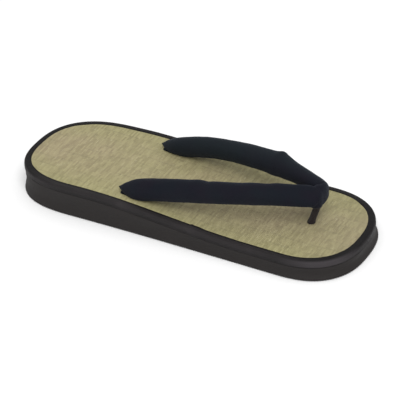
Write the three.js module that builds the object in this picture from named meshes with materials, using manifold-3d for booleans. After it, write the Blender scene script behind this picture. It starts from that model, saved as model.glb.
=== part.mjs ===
// A zori sandal: a foam wedge sole, a rush insole bound with tape, padded straps and a toe post.
// Millimetres. +X points to the toe, +Y to the wearer's left and +Z up. The origin is on the
// floor, below the middle of the sandal's bounding box.
import * as THREE from 'three';
import { mergeVertices } from 'three/addons/utils/BufferGeometryUtils.js';
import Module from 'manifold-3d';

const wasm = await Module();
wasm.setup();

// Outline of the bound edge, seen from above
const length = 260;
const heelWidth = 86.2;
const toeWidth = 88;
const waistSwell = 1.9; // what the width at mid length has over the straight line from heel to toe
const heelRound = 53.5; // length over which the heel end rounds off
const toeRound = 45.7;
const heelFullness = 2.53; // exponent of the rounded end, where 2 is an ellipse
const toeFullness = 2.39;
const bow = 2.6; // how far the middle of the outline lies to the left of its two ends
const bowLead = 1.1; // how much more it bows before mid length than after it

// Side view: the top is level at the heel, slopes down under the arch and is level to the toe
const heelHeight = 22.4;
const toeHeight = 14.4;
const slopeFromHeel = 64; // where the slope starts, from the heel end
const slopeFromToe = 68; // where it ends, from the toe end

// Flank of the sole, measured sideways from the bound edge
const soleFlare = 0.5; // the bottom stands out
const soleWaist = 0.5; // the middle is drawn in
const shoulderInset = 0.25;
const shoulderRound = 1.3;
const footEdge = 0.6; // height of the small bevel at the floor

// Tape folded over the edge of the insole
const tape = 0.8;
const bandWidth = 5.3; // seen from above
const wallHeight = 4.8; // seen from the side
const lapWidth = 6; // under the insole
const foldRound = 0.7;
const matDrop = 0.3; // how far the mat's face lies below the tape's

// Straps
const rootFromHeel = 94; // middle of the slots where the straps enter the insole
const rootSpread = 29.3; // from the middle line to each slot
const strapWidth = 15;
const strapThickness = 13;
const noseRise = 24.4; // height of the nose's middle above the insole
const noseLength = 12.5;
const noseWidth = 19;
const noseThickness = 14.5;
const tabLength = 12; // flat end of each strap, in its slot
const tabThickness = 6.5;
const tabDepth = 10;

// Toe post
const postFromToe = 42; // where the post enters the insole, from the toe end
const postLean = 6.5; // how far its top lies ahead of its foot
const postDiameter = 5;
const postDepth = 9; // below the insole's face
const postSeat = 4; // inside the nose

const gap = 0.3; // between pieces that lie on or in one another

// Fineness of the faceted surfaces
const sideSteps = 46;
const strapSides = 14;
const stepsPerRow = 2;

// Sections of one arm of the straps, from its rear end to the nose. along is a share of the way
// from the slot to the nose, spread of rootSpread, rise of noseRise, wide and thick of the strap's
// width and thickness. lean is the angle of the section's wide axis from flat, in degrees.
const armRows = [
  { along: -0.047, spread: 1.0, rise: 0.117, wide: 0.18, thick: 0.18, lean: 57 },
  { along: -0.038, spread: 1.0, rise: 0.119, wide: 0.42, thick: 0.42, lean: 57 },
  { along: -0.015, spread: 0.998, rise: 0.133, wide: 0.68, thick: 0.66, lean: 57 },
  { along: 0.022, spread: 0.995, rise: 0.16, wide: 0.88, thick: 0.86, lean: 57 },
  { along: 0.07, spread: 0.99, rise: 0.237, wide: 0.96, thick: 0.95, lean: 58 },
  { along: 0.18, spread: 0.977, rise: 0.435, wide: 0.99, thick: 1.0, lean: 62 },
  { along: 0.3, spread: 0.955, rise: 0.633, wide: 1.01, thick: 1.04, lean: 65 },
  { along: 0.475, spread: 0.863, rise: 0.847, wide: 0.98, thick: 1.12, lean: 60 },
  { along: 0.62, spread: 0.735, rise: 0.98, wide: 0.93, thick: 1.2, lean: 50 },
  { along: 0.695, spread: 0.66, rise: 1.039, wide: 0.96, thick: 1.27, lean: 45 },
  { along: 0.77, spread: 0.548, rise: 1.05, wide: 0.92, thick: 1.08, lean: 44 },
  { along: 0.89, spread: 0.36, rise: 1.06, wide: 0.95, thick: 0.86, lean: 43 },
  { along: 0.96, spread: 0.248, rise: 1.06, wide: 0.96, thick: 0.76, lean: 42 },
  { along: 1.005, spread: 0.18, rise: 1.05, wide: 0.88, thick: 0.66, lean: 42 },
  { along: 1.03, spread: 0.14, rise: 1.039, wide: 0.5, thick: 0.42, lean: 42 },
];

// Rounded rectangle of the tab and its slot
const tabRound = 2.5;

const heelEnd = -length / 2;
const toeEnd = length / 2;
const rootX = heelEnd + rootFromHeel;
const postX = toeEnd - postFromToe;
const noseX = postX + postLean;

// Height of the top of the bound edge above the floor
function topAt(x) {
  const share = (x - heelEnd - slopeFromHeel) / (length - slopeFromHeel - slopeFromToe);
  return THREE.MathUtils.lerp(heelHeight, toeHeight, THREE.MathUtils.smoothstep(share, 0, 1));
}

// Face of the mat inside the binding
function matAt(x) {
  return topAt(x) - matDrop;
}

// How much of its full width the outline has at a distance from a rounded end
function roundedEnd(distance, round, fullness) {
  const rest = Math.max(0, 1 - distance / round);
  return (1 - rest ** fullness) ** (1 / fullness);
}

function halfWidthAt(x) {
  const share = (x - heelEnd) / length;
  const straight = THREE.MathUtils.lerp(heelWidth, toeWidth, share) / 2;
  const swell = (waistSwell / 2) * 4 * share * (1 - share);
  const heel = roundedEnd(x - heelEnd, heelRound, heelFullness);
  const toe = roundedEnd(toeEnd - x, toeRound, toeFullness);
  return (straight + swell) * heel * toe;
}

function middleAt(x) {
  const place = (2 * x) / length;
  return bow * (1 - place ** 2) - bowLead * (place - place ** 3);
}

// One side of the outline from heel to toe, in steps of equal length; side is -1 right, 1 left
function outlineSide(side) {
  const fineSteps = sideSteps * 40;
  const fine = [];
  const travelled = [0];
  for (let i = 0; i <= fineSteps; i += 1) {
    const x = toeEnd * -Math.cos((Math.PI * i) / fineSteps);
    fine.push(new THREE.Vector2(x, middleAt(x) + side * halfWidthAt(x)));
    if (i > 0) travelled.push(travelled[i - 1] + fine[i].distanceTo(fine[i - 1]));
  }
  const points = [];
  let at = 0;
  for (let step = 0; step <= sideSteps; step += 1) {
    const goal = (travelled[fineSteps] * step) / sideSteps;
    while (at < fineSteps - 1 && travelled[at + 1] < goal) at += 1;
    const share = (goal - travelled[at]) / (travelled[at + 1] - travelled[at]);
    points.push(fine[at].clone().lerp(fine[at + 1], share));
  }
  return points;
}

// The whole outline, counterclockwise from the heel, centred on the X axis
function outlinePoints() {
  const right = outlineSide(-1);
  const left = outlineSide(1);
  const points = [...right, ...left.slice(1, -1).reverse()];
  const across = points.map((point) => point.y);
  const centre = (Math.max(...across) + Math.min(...across)) / 2;
  points.forEach((point) => point.setY(point.y - centre));
  return points;
}

const outline = outlinePoints();
const outward = outline.map((point, i) => {
  const before = outline[(i + outline.length - 1) % outline.length];
  const after = outline[(i + 1) % outline.length];
  return new THREE.Vector2(after.y - before.y, before.x - after.x).normalize();
});

// The outline moved inward, as a ring of points at a height that depends on x
function insetRing(inset, heightAt) {
  return outline.map((point, i) => {
    const x = point.x - outward[i].x * inset;
    const y = point.y - outward[i].y * inset;
    return new THREE.Vector3(x, y, heightAt(x));
  });
}

function signedVolume(points, triangles) {
  let total = 0;
  for (let i = 0; i < triangles.length; i += 3) {
    const [a, b, c] = [points[triangles[i]], points[triangles[i + 1]], points[triangles[i + 2]]];
    total += a.dot(b.clone().cross(c)) / 6;
  }
  return total;
}

// Closed mesh from points and triangles, turned so that its faces point out
function closedMesh(points, triangles) {
  const turned = signedVolume(points, triangles) < 0 ? triangles.slice().reverse() : triangles;
  const geometry = new THREE.BufferGeometry().setFromPoints(points);
  geometry.setIndex(turned);
  return geometry;
}

// Two triangles between two steps of two rings
function quad(triangles, a, b, c, d) {
  triangles.push(a, b, c, a, c, d);
}

// A stack of rings with equal counts, closed at both ends by strips across the ring
function loft(rings) {
  const count = rings[0].length;
  const triangles = [];
  for (let level = 0; level < rings.length - 1; level += 1) {
    for (let i = 0; i < count; i += 1) {
      const next = (i + 1) % count;
      const low = level * count;
      const high = low + count;
      quad(triangles, low + i, low + next, high + next, high + i);
    }
  }
  const last = (rings.length - 1) * count;
  for (let i = 0; i < count / 2; i += 1) {
    const across = (count - i) % count;
    const nextAcross = count - i - 1;
    const strip = [];
    if (i > 0) strip.push(i, across, nextAcross);
    if (i < count / 2 - 1) strip.push(i, nextAcross, i + 1);
    triangles.push(...strip);
    triangles.push(...strip.map((index) => index + last).reverse());
  }
  return closedMesh(rings.flat(), triangles);
}

// Sections joined into a closed loop, the last to the first
function loop(sections) {
  const count = sections[0].length;
  const triangles = [];
  sections.forEach((section, i) => {
    const here = i * count;
    const there = ((i + 1) % sections.length) * count;
    for (let j = 0; j < count; j += 1) {
      const next = (j + 1) % count;
      quad(triangles, here + j, there + j, there + next, here + next);
    }
  });
  return closedMesh(sections.flat(), triangles);
}

function toSolid(geometry) {
  const bare = geometry.clone();
  bare.deleteAttribute('normal');
  bare.deleteAttribute('uv');
  const merged = mergeVertices(bare);
  const vertProperties = new Float32Array(merged.attributes.position.array);
  const triVerts = new Uint32Array(merged.index.array);
  return new wasm.Manifold(new wasm.Mesh({ numProp: 3, vertProperties, triVerts }));
}

function toGeometry(solid) {
  const mesh = solid.getMesh();
  const geometry = new THREE.BufferGeometry();
  geometry.setAttribute('position', new THREE.BufferAttribute(mesh.vertProperties, 3));
  geometry.setIndex(new THREE.BufferAttribute(mesh.triVerts, 1));
  geometry.computeVertexNormals();
  return geometry;
}

// Upright bar with rounded corners at a strap's slot, grown on every side by a clearance
function tabBar(side, bottom, top, clearance) {
  const halfLength = tabLength / 2 + clearance;
  const halfThickness = tabThickness / 2 + clearance;
  const round = tabRound + clearance;
  const shape = new THREE.Shape();
  shape.absarc(halfLength - round, halfThickness - round, round, 0, Math.PI / 2);
  shape.absarc(round - halfLength, halfThickness - round, round, Math.PI / 2, Math.PI);
  shape.absarc(round - halfLength, round - halfThickness, round, Math.PI, Math.PI * 1.5);
  shape.absarc(halfLength - round, round - halfThickness, round, Math.PI * 1.5, Math.PI * 2);
  const bar = new THREE.ExtrudeGeometry(shape, {
    depth: top - bottom,
    bevelEnabled: false,
    curveSegments: 4,
  });
  return bar.translate(rootX, side * rootSpread, bottom);
}

// The post's line from its foot on the mat to the middle of the nose
const postFoot = new THREE.Vector3(postX, 0, matAt(postX));
const noseMiddle = new THREE.Vector3(noseX, 0, matAt(noseX) + noseRise);
const postAxis = noseMiddle.clone().sub(postFoot).normalize();

// How far up the post's line the underside of the nose lies
const noseUnderside = noseMiddle.distanceTo(postFoot) - noseThickness / 2;

// Round bar along the post's line, between two distances from its foot
function postBar(from, to, diameter) {
  const bar = new THREE.CylinderGeometry(diameter / 2, diameter / 2, to - from, 16);
  bar.translate(0, (from + to) / 2, 0);
  const up = new THREE.Vector3(0, 1, 0);
  bar.applyQuaternion(new THREE.Quaternion().setFromUnitVectors(up, postAxis));
  return bar.translate(postFoot.x, postFoot.y, postFoot.z);
}

// Slots and post hole through the insole and down into the sole
function cutSeats(solid) {
  const deepest = matAt(rootX) - tabDepth - gap;
  const over = heelHeight + wallHeight;
  let cut = solid.subtract(toSolid(postBar(-postDepth - gap, wallHeight, postDiameter + 2 * gap)));
  for (const side of [-1, 1]) {
    cut = cut.subtract(toSolid(tabBar(side, deepest, over, gap)));
  }
  return cut;
}

// Foam wedge: rings up its waisted flank, from the floor to the face under the insole
function soleGeometry() {
  const faceAt = (x) => topAt(x) - wallHeight - gap;
  const shoulderAt = (x) => faceAt(x) - shoulderRound;
  const share = (part) => (x) => THREE.MathUtils.lerp(footEdge, shoulderAt(x), part);
  const roundPart = shoulderRound * (1 - Math.SQRT1_2);
  const rings = [
    insetRing(footEdge - soleFlare, () => 0),
    insetRing(-soleFlare, share(0)),
    insetRing((soleWaist - soleFlare) / 2, share(0.25)),
    insetRing(soleWaist, share(0.5)),
    insetRing((soleWaist + shoulderInset) / 2, share(0.8)),
    insetRing(shoulderInset, share(1)),
    insetRing(shoulderInset + roundPart, (x) => faceAt(x) - roundPart),
    insetRing(shoulderInset + shoulderRound, faceAt),
  ];
  return toGeometry(cutSeats(toSolid(loft(rings))));
}

// Mat on its board: a thin edge inside the fold of the tape, and full thickness between the bands
function insoleGeometry() {
  const below = (drop) => (x) => topAt(x) - drop;
  const edge = tape + gap;
  const field = bandWidth + gap;
  const core = lapWidth + gap;
  const rings = [
    insetRing(core, below(wallHeight)),
    insetRing(core, below(wallHeight - edge)),
    insetRing(edge, below(wallHeight - edge)),
    insetRing(edge, below(edge)),
    insetRing(field, below(edge)),
    insetRing(field, below(matDrop + gap)),
    insetRing(field + gap, below(matDrop)),
  ];
  return toGeometry(cutSeats(toSolid(loft(rings))));
}

// Tape folded round the insole's edge, as one section carried round the outline
function bindingGeometry() {
  const fold = foldRound * (1 - Math.SQRT1_2);
  const section = [
    { inset: bandWidth, drop: 0 },
    { inset: foldRound, drop: 0 },
    { inset: fold, drop: fold },
    { inset: 0, drop: foldRound },
    { inset: 0, drop: wallHeight - foldRound },
    { inset: fold, drop: wallHeight - fold },
    { inset: foldRound, drop: wallHeight },
    { inset: lapWidth, drop: wallHeight },
    { inset: lapWidth, drop: wallHeight - tape },
    { inset: tape, drop: wallHeight - tape },
    { inset: tape, drop: tape },
    { inset: bandWidth, drop: tape },
  ];
  const rings = section.map(({ inset, drop }) => insetRing(inset, (x) => topAt(x) - drop));
  const sections = outline.map((point, i) => rings.map((ring) => ring[i]));
  const geometry = loop(sections);
  geometry.computeVertexNormals();
  return geometry;
}

// One padded arm of the straps, side -1 right or 1 left
function armGeometry(side) {
  const centres = armRows.map((row) => {
    const x = THREE.MathUtils.lerp(rootX, noseX, row.along);
    return new THREE.Vector3(x, side * row.spread * rootSpread, matAt(x) + row.rise * noseRise);
  });
  const shapes = armRows.map((row) => new THREE.Vector3(row.wide, row.thick, row.lean));
  const route = new THREE.CatmullRomCurve3(centres, false, 'centripetal');
  const shaping = new THREE.CatmullRomCurve3(shapes, false, 'catmullrom', 0.5);
  const count = (armRows.length - 1) * stepsPerRow;
  const rings = [];
  for (let i = 0; i <= count; i += 1) {
    const centre = route.getPoint(i / count);
    const ahead = route.getTangent(i / count);
    const shape = shaping.getPoint(i / count);
    const out = new THREE.Vector3(0, side, 0);
    out.addScaledVector(ahead, -out.dot(ahead)).normalize();
    const up = ahead.clone().cross(out).multiplyScalar(-side).normalize();
    if (up.z < 0) up.negate();
    const lean = THREE.MathUtils.degToRad(shape.z);
    const wideAxis = up.clone().multiplyScalar(Math.sin(lean)).addScaledVector(out, -Math.cos(lean));
    const thickAxis = out.clone().multiplyScalar(Math.sin(lean)).addScaledVector(up, Math.cos(lean));
    const ring = [];
    for (let j = 0; j < strapSides; j += 1) {
      const angle = (2 * Math.PI * j) / strapSides;
      const across = (strapWidth / 2) * shape.x * Math.cos(angle);
      const through = (strapThickness / 2) * shape.y * Math.sin(angle);
      ring.push(centre.clone().addScaledVector(wideAxis, across).addScaledVector(thickAxis, through));
    }
    rings.push(ring);
  }
  return loft(rings);
}

// What lies under the mat's face at the rear of the straps, where they rest flat on it
function underMat() {
  const level = (x) => matAt(x) + gap;
  const rings = [insetRing(0, () => 0), insetRing(0, level)];
  return loft(rings);
}

// Both arms, joined at the nose, with a flat tab below each rear end and a seat for the post
function strapsGeometry() {
  const nose = new THREE.SphereGeometry(1, 18, 12);
  nose.scale(noseLength / 2, noseWidth / 2, noseThickness / 2);
  nose.translate(noseMiddle.x, noseMiddle.y, noseMiddle.z);
  let straps = toSolid(nose);
  for (const side of [-1, 1]) {
    const arm = toSolid(armGeometry(side)).subtract(toSolid(underMat()));
    const tab = tabBar(side, matAt(rootX) - tabDepth, matAt(rootX) + strapThickness / 4, 0);
    straps = straps.add(arm).add(toSolid(tab));
  }
  const seatEnd = noseUnderside + postSeat + gap;
  const seat = toSolid(postBar(noseUnderside / 2, seatEnd, postDiameter + 2 * gap));
  return toGeometry(straps.subtract(seat));
}

function postGeometry() {
  return postBar(-postDepth, noseUnderside + postSeat, postDiameter);
}

const group = new THREE.Group();

function addPiece(name, geometry, color, roughness) {
  const mesh = new THREE.Mesh(geometry, new THREE.MeshStandardMaterial({ color, roughness, metalness: 0 }));
  mesh.name = name;
  group.add(mesh);
}

addPiece('sole', soleGeometry(), 0x34302f, 0.85);
addPiece('insole', insoleGeometry(), 0x9e9472, 0.75);
addPiece('binding', bindingGeometry(), 0x272a26, 0.9);
addPiece('straps', strapsGeometry(), 0x22242d, 0.95);
addPiece('toe_post', postGeometry(), 0x241d1c, 0.9);

export default group;
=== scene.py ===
"""Zori sandal: a foam wedge sole, a rush insole bound with tape, velvet straps and a toe post.

Sizes are in millimetres until a mesh is made, in the frame of the CAD model: X to the toe,
Y to the wearer's left, Z up from the floor. Plain lengths inside the materials are in metres.
"""
import math

import bmesh
import bpy
import numpy as np
from mathutils import Matrix, Vector, kdtree, noise

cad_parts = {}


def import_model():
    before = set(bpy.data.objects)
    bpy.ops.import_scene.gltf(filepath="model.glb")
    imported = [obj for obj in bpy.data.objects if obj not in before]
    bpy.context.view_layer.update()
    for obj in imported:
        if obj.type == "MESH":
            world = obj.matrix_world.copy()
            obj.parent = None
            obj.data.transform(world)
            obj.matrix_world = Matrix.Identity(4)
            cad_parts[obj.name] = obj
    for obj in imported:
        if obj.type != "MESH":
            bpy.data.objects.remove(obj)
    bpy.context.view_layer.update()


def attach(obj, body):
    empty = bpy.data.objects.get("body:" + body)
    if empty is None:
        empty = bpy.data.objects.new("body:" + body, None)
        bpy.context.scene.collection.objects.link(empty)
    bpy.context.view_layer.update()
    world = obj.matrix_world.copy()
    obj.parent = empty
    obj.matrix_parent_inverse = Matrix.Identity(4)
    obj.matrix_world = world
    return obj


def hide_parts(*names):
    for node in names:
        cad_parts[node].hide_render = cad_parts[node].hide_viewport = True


MM = 0.001

# Outline of the bound edge
LENGTH = 260
HEEL_WIDTH = 86.2
TOE_WIDTH = 88
WAIST_SWELL = 1.9
HEEL_ROUND = 53.5
TOE_ROUND = 45.7
HEEL_FULLNESS = 2.53
TOE_FULLNESS = 2.39
BOW = 2.6
BOW_LEAD = 1.1
HEEL_END = -LENGTH / 2
TOE_END = LENGTH / 2

# Heights of the top of the bound edge
HEEL_HEIGHT = 22.4
TOE_HEIGHT = 14.4
SLOPE_FROM_HEEL = 64
SLOPE_FROM_TOE = 68

# Flank and underside of the sole
SOLE_FLARE = 0.8
SOLE_WAIST = 0.5
SHOULDER_INSET = 0.15
SHOULDER_ROUND = 0.45
CORNER_FULLNESS = 0.55
FOOT_EDGE = 0.6
TOOTH_PITCH = 1.75
TOOTH_DEPTH = 0.75
RIM_WIDTH = 1.7
TREAD_DEPTH = 0.9
RIB_PITCH = 3.9
RIB_FOOT = 2.3
RIB_CREST = 1.5
RIB_REACH = 300
RIB_STEP = 0.85
RIB_WAVE = 8.5
RIB_SWAY = 1.0
RIB_ANGLE = 33

# Tape folded round the edge of the insole
TAPE = 0.8
BAND_WIDTH = 5.15
BAND_SPREAD = 0.55
TOE_SPREAD = 0.6
WALL_HEIGHT = 4.8
LAP_WIDTH = 6
FOLD_ROUND = 1.7
LOWER_FOLD_ROUND = 0.2
WALL_GAP = 0.05
JOIN_X = 18
JOIN_LENGTH = 11
JOIN_STEP = 0.3
JOIN_TICK = 0.8
JOIN_EDGE = 0.7
PUCKER = 0.05

# Rush mat
MAT_DROP = 0.3
MAT_CROWN = 0.3
MAT_CLEARANCE = 0.1
MAT_TUCK = 1.0
MAT_ROWS = 76
COLUMNS_PER_STEM = 5
STROKE_LENGTH = 5.6
STEM_PITCH = 1.3
WARP_PITCH = 9
STEM_RELIEF = 0.24
WARP_RELIEF = 0.16

# Straps and post
ROOT_FROM_HEEL = 94
ROOT_SPREAD = 29.3
STRAP_WIDTH = 15
STRAP_THICKNESS = 13
STRAP_PUFF = 0.35
STRAP_LIFT = 0.2
NOSE_RISE = 24.4
NOSE_LENGTH = 9.6
NOSE_WIDTH = 19
NOSE_THICKNESS = 14.5
NOSE_PLAN = 0.68
NOSE_TOP = 0.85
NOSE_BOTTOM = 0.5
TAB_LENGTH = 12
TAB_THICKNESS = 6.5
TAB_DEPTH = 10
TAB_RISE = 0.55
TAB_CORNER = 2.5
POST_FROM_TOE = 42
POST_LEAN = 6.5
POST_DIAMETER = 5
POST_DEPTH = 9
POST_SEAT = 4
POST_SHIFT = 2
GAP = 0.3
STITCH_PITCH = 2.6
STITCH_LENGTH = 1.9
STITCH_THICKNESS = 0.42

ROOT_X = HEEL_END + ROOT_FROM_HEEL
POST_X = TOE_END - POST_FROM_TOE
NOSE_X = POST_X + POST_LEAN

# One arm from its rear end to the nose: share of the way, share of the spread and of the rise,
# shares of the strap's width and thickness, and the lean of its wide axis in degrees
ARM_ROWS = [
    (-0.06, 1.0, 0.117, 0.04, 0.04, 57),
    (-0.046, 1.0, 0.119, 0.2, 0.24, 57),
    (-0.022, 0.998, 0.133, 0.48, 0.54, 57),
    (0.018, 0.995, 0.16, 0.8, 0.82, 57),
    (0.07, 0.99, 0.237, 0.96, 0.95, 58),
    (0.18, 0.977, 0.435, 0.99, 1.0, 62),
    (0.3, 0.955, 0.633, 1.01, 1.04, 65),
    (0.475, 0.863, 0.847, 0.98, 1.12, 60),
    (0.62, 0.735, 0.98, 0.93, 1.2, 50),
    (0.695, 0.66, 1.039, 0.96, 1.27, 45),
    (0.77, 0.548, 1.05, 0.92, 1.08, 44),
    (0.89, 0.36, 1.06, 0.95, 0.86, 43),
    (0.96, 0.248, 1.06, 0.96, 0.76, 42),
    (0.998, 0.18, 1.05, 0.88, 0.68, 42),
    (1.02, 0.14, 1.039, 0.52, 0.42, 42),
]


class Wire:
    """A socket that can be added to, subtracted, multiplied and so on, each with a Math node."""

    def __init__(self, board, socket):
        self.board = board
        self.socket = socket

    def math(self, operation, *others):
        values = dict(enumerate([self, *others]))
        return self.board.node("ShaderNodeMath", {"operation": operation}, values)

    def __add__(self, other):
        return self.math("ADD", other)

    __radd__ = __add__

    def __sub__(self, other):
        return self.math("SUBTRACT", other)

    def __mul__(self, other):
        return self.math("MULTIPLY", other)

    __rmul__ = __mul__

    def __truediv__(self, other):
        return self.math("DIVIDE", other)


class Board:
    """A node tree, of a material or of Geometry Nodes, that nodes are laid on."""

    def __init__(self, tree):
        self.tree = tree

    def node(self, kind, settings=None, sockets=None, output=0):
        made = self.tree.nodes.new(kind)
        for key, value in (settings or {}).items():
            if key == "stops":
                self.set_stops(made.color_ramp.elements, value)
            else:
                setattr(made, key, value)
        for key, value in (sockets or {}).items():
            self.plug(made.inputs[key], value)
        if not made.outputs:
            return made
        return Wire(self, made.outputs[output])

    def set_stops(self, elements, stops):
        elements[0].position, elements[-1].position = stops[0][0], stops[-1][0]
        elements[0].color, elements[-1].color = (*stops[0][1], 1), (*stops[-1][1], 1)
        for position, colour in stops[1:-1]:
            elements.new(position).color = (*colour, 1)

    def plug(self, socket, value):
        if isinstance(value, Wire):
            self.tree.links.new(value.socket, socket)
        elif socket.type == "RGBA" and len(value) == 3:
            socket.default_value = (*value, 1)
        else:
            socket.default_value = value

    def mix(self, factor, first, second):
        sockets = {0: factor, 6: first, 7: second}
        return self.node("ShaderNodeMix", {"data_type": "RGBA"}, sockets, output=2)

    def split(self, vector):
        return [self.node("ShaderNodeSeparateXYZ", {}, {0: vector}, output=i) for i in range(3)]

    def join(self, x, y, z):
        return self.node("ShaderNodeCombineXYZ", {}, {0: x, 1: y, 2: z})

    def noise(self, vector, scale, detail=2, rough=0.5):
        sockets = {"Vector": vector, "Scale": scale, "Detail": detail, "Roughness": rough}
        return self.node("ShaderNodeTexNoise", {"noise_dimensions": "3D"}, sockets)

    def ramp(self, value, *stops):
        return self.node("ShaderNodeValToRGB", {"stops": stops}, {0: value})

    def spread(self, value, low, high, to_low=0, to_high=1):
        sockets = {0: value, 1: low, 2: high, 3: to_low, 4: to_high}
        return self.node("ShaderNodeMapRange", {"clamp": True}, sockets)


class Finish(Board):
    """A material with one Principled shader."""

    def __init__(self, name, **fixed):
        self.material = bpy.data.materials.new(name)
        self.material.use_nodes = True
        super().__init__(self.material.node_tree)
        self.tree.nodes.clear()
        self.shader = self.tree.nodes.new("ShaderNodeBsdfPrincipled")
        out = self.tree.nodes.new("ShaderNodeOutputMaterial")
        self.tree.links.new(self.shader.outputs[0], out.inputs[0])
        for key, value in fixed.items():
            self.set(key.replace("_", " "), value)

    def set(self, name, value):
        found = next(s for s in self.shader.inputs if s.name.lower() == name.lower())
        self.plug(found, value)

    def place(self):
        return self.node("ShaderNodeTexCoord", output=3)

    def roughen(self, value, low, high):
        self.set("Roughness", self.spread(value, 0.3, 0.7, low, high))

    def bump(self, height, strength, distance, under=None):
        sockets = {"Height": height, "Strength": strength, "Distance": distance}
        if under:
            sockets["Normal"] = under
        return self.node("ShaderNodeBump", {}, sockets)


def foam_finish():
    finish = Finish("sole_foam", Specular_IOR_Level=0.22)
    place = finish.place()
    broad = finish.noise(place, 38, 3)
    fine = finish.noise(place, 900, 3, 0.6)
    tone = broad * 0.65 + fine * 0.35
    finish.set("Base Color", finish.ramp(
        tone, (0.3, (0.0132, 0.0112, 0.0106)), (0.5, (0.0172, 0.0148, 0.0142)),
        (0.7, (0.0232, 0.0202, 0.0196))))
    finish.roughen(broad, 0.58, 0.78)
    grain = finish.noise(place, 1500, 4, 0.65)
    skin = finish.noise(place, 260, 2)
    normal = finish.bump(skin, 0.25, 0.0004)
    finish.set("Normal", finish.bump(grain, 0.35, 0.0002, normal))
    return finish.material


def rush_finish():
    finish = Finish("rush_mat", Specular_IOR_Level=0.25)
    place = finish.place()
    x, y, z = finish.split(place)
    drift = finish.noise(finish.join(x * 0.35, y, 0.0), 28, 2)
    along = (x + (drift - 0.5) * (1.6 * MM)) / (STEM_PITCH * MM)
    stem = along.math("FLOOR")
    stem_tone = finish.node("ShaderNodeTexWhiteNoise", {"noise_dimensions": "1D"}, {"W": stem})
    cell = (y / (STROKE_LENGTH * MM) + stem_tone * 7).math("FLOOR")
    stroke = finish.node(
        "ShaderNodeTexWhiteNoise", {"noise_dimensions": "2D"}, {"Vector": finish.join(stem, cell, 0.0)})
    streak_at = finish.join(along * 0.9, y * 150, stem_tone * 9)
    streak = finish.noise(streak_at, 1, 2, 0.6)
    fleck_at = finish.join(along * 1.7, y * 260, stem_tone * 4 + 3)
    fleck = finish.noise(fleck_at, 1, 2, 0.7)
    patch = finish.noise(place, 24, 3, 0.6)
    edge = finish.spread(y.math("ABSOLUTE"), 0.012, 0.038)
    # Painted shade: the mat darkens towards the toe
    painted_toe_shade = finish.spread(x, 0.075, 0.115, 0, 0.16)
    rosy = finish.mix(
        finish.spread(patch, 0.35, 0.65), (0.312, 0.274, 0.142), (0.332, 0.264, 0.166))
    ground = finish.mix(edge * 0.8, rosy, (0.296, 0.278, 0.122))
    tone = streak * 0.35 + stem_tone * 0.12 + stroke * 0.53
    straw = finish.mix(
        finish.spread(tone, 0.2, 0.8), (0.205, 0.184, 0.102), (0.392, 0.358, 0.198))
    colour = finish.mix(0.5, straw, ground)
    dark = finish.spread(fleck, 0.62, 0.74)
    colour = finish.mix(dark * 0.5, colour, (0.115, 0.100, 0.058))
    pale = finish.spread(fleck, 0.38, 0.27)
    colour = finish.mix(pale * 0.45, colour, (0.54, 0.50, 0.34))
    wander = finish.noise(finish.join(x, y * 0.4, 0.0), 34, 2)
    warp = ((y + (wander - 0.5) * (5.5 * MM)) / (WARP_PITCH * MM)).math("FRACT")
    line = finish.spread((warp - 0.5).math("ABSOLUTE"), 0.0, 0.09, 1, 0)
    faint = finish.spread(finish.noise(place, 60, 2), 0.4, 0.6, 0.05, 0.26)
    colour = finish.mix(line * faint, colour, (0.13, 0.115, 0.075))
    # Painted shade towards the toe
    colour = finish.mix(painted_toe_shade, colour, (0.13, 0.125, 0.072))
    finish.set("Base Color", colour)
    finish.roughen(streak, 0.5, 0.72)
    fibre = finish.noise(finish.join(x * 2600, y * 90, z), 1, 2)
    finish.set("Normal", finish.bump(fibre, 0.3, 0.0002))
    return finish.material


def tape_finish():
    finish = Finish("binding_tape", Specular_IOR_Level=0.12)
    u, v = finish.split(finish.node("ShaderNodeUVMap", {"uv_map": "tape"}))[:2]
    weft = (u * (2 * math.pi / (0.62 * MM))).math("SINE")
    warp = (v * (2 * math.pi / (0.5 * MM))).math("SINE")
    weave = weft * warp
    place = finish.place()
    broad = finish.noise(place, 45, 3)
    colour = finish.ramp(
        broad, (0.3, (0.0165, 0.0148, 0.0152)), (0.55, (0.023, 0.0202, 0.021)),
        (0.75, (0.0315, 0.028, 0.029)))
    x, y = finish.split(place)[:2]
    # Painted shade: darker on the band at both ends and on the far side, then along the inner lip, on
    # the wall and at the tip of the toe; v runs across the tape from its inner lip
    ends = finish.spread(x.math("ABSOLUTE"), 0.085, 0.118, 0, 0.75)
    far = finish.spread(y, 0.0, 0.03, 0, 0.5)
    painted_shade = ends.math("MAXIMUM", far) * finish.spread(v, 0.0048, 0.007, 1, 0)
    painted_shade = painted_shade.math("MAXIMUM", finish.spread(v, 0.0016, 0.0028, 0.85, 0))
    painted_shade = painted_shade.math("MAXIMUM", finish.spread(v, 0.0068, 0.0085, 0, 0.35))
    painted_shade = painted_shade.math("MAXIMUM", finish.spread(x, 0.118, 0.126, 0, 0.45))
    colour = finish.mix(painted_shade, colour, (0.002, 0.0019, 0.002))
    # Painted highlight: paler over the fold at the near corner of the toe
    toe_corner = finish.spread(x, 0.085, 0.108) * finish.spread(y, -0.01, -0.03)
    painted_highlight = toe_corner * finish.spread(v, 0.0036, 0.0056) * finish.spread(v, 0.0088, 0.0096, 1, 0)
    finish.set("Base Color", finish.mix(painted_highlight * 0.7, colour, (0.052, 0.046, 0.05)))
    finish.roughen(broad, 0.46, 0.6)
    slub = finish.noise(finish.join(u * 120, v * 1400, 0.0), 1, 2)
    finish.set("Normal", finish.bump(weave * 0.6 + slub, 0.4, 0.00018))
    return finish.material


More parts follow.
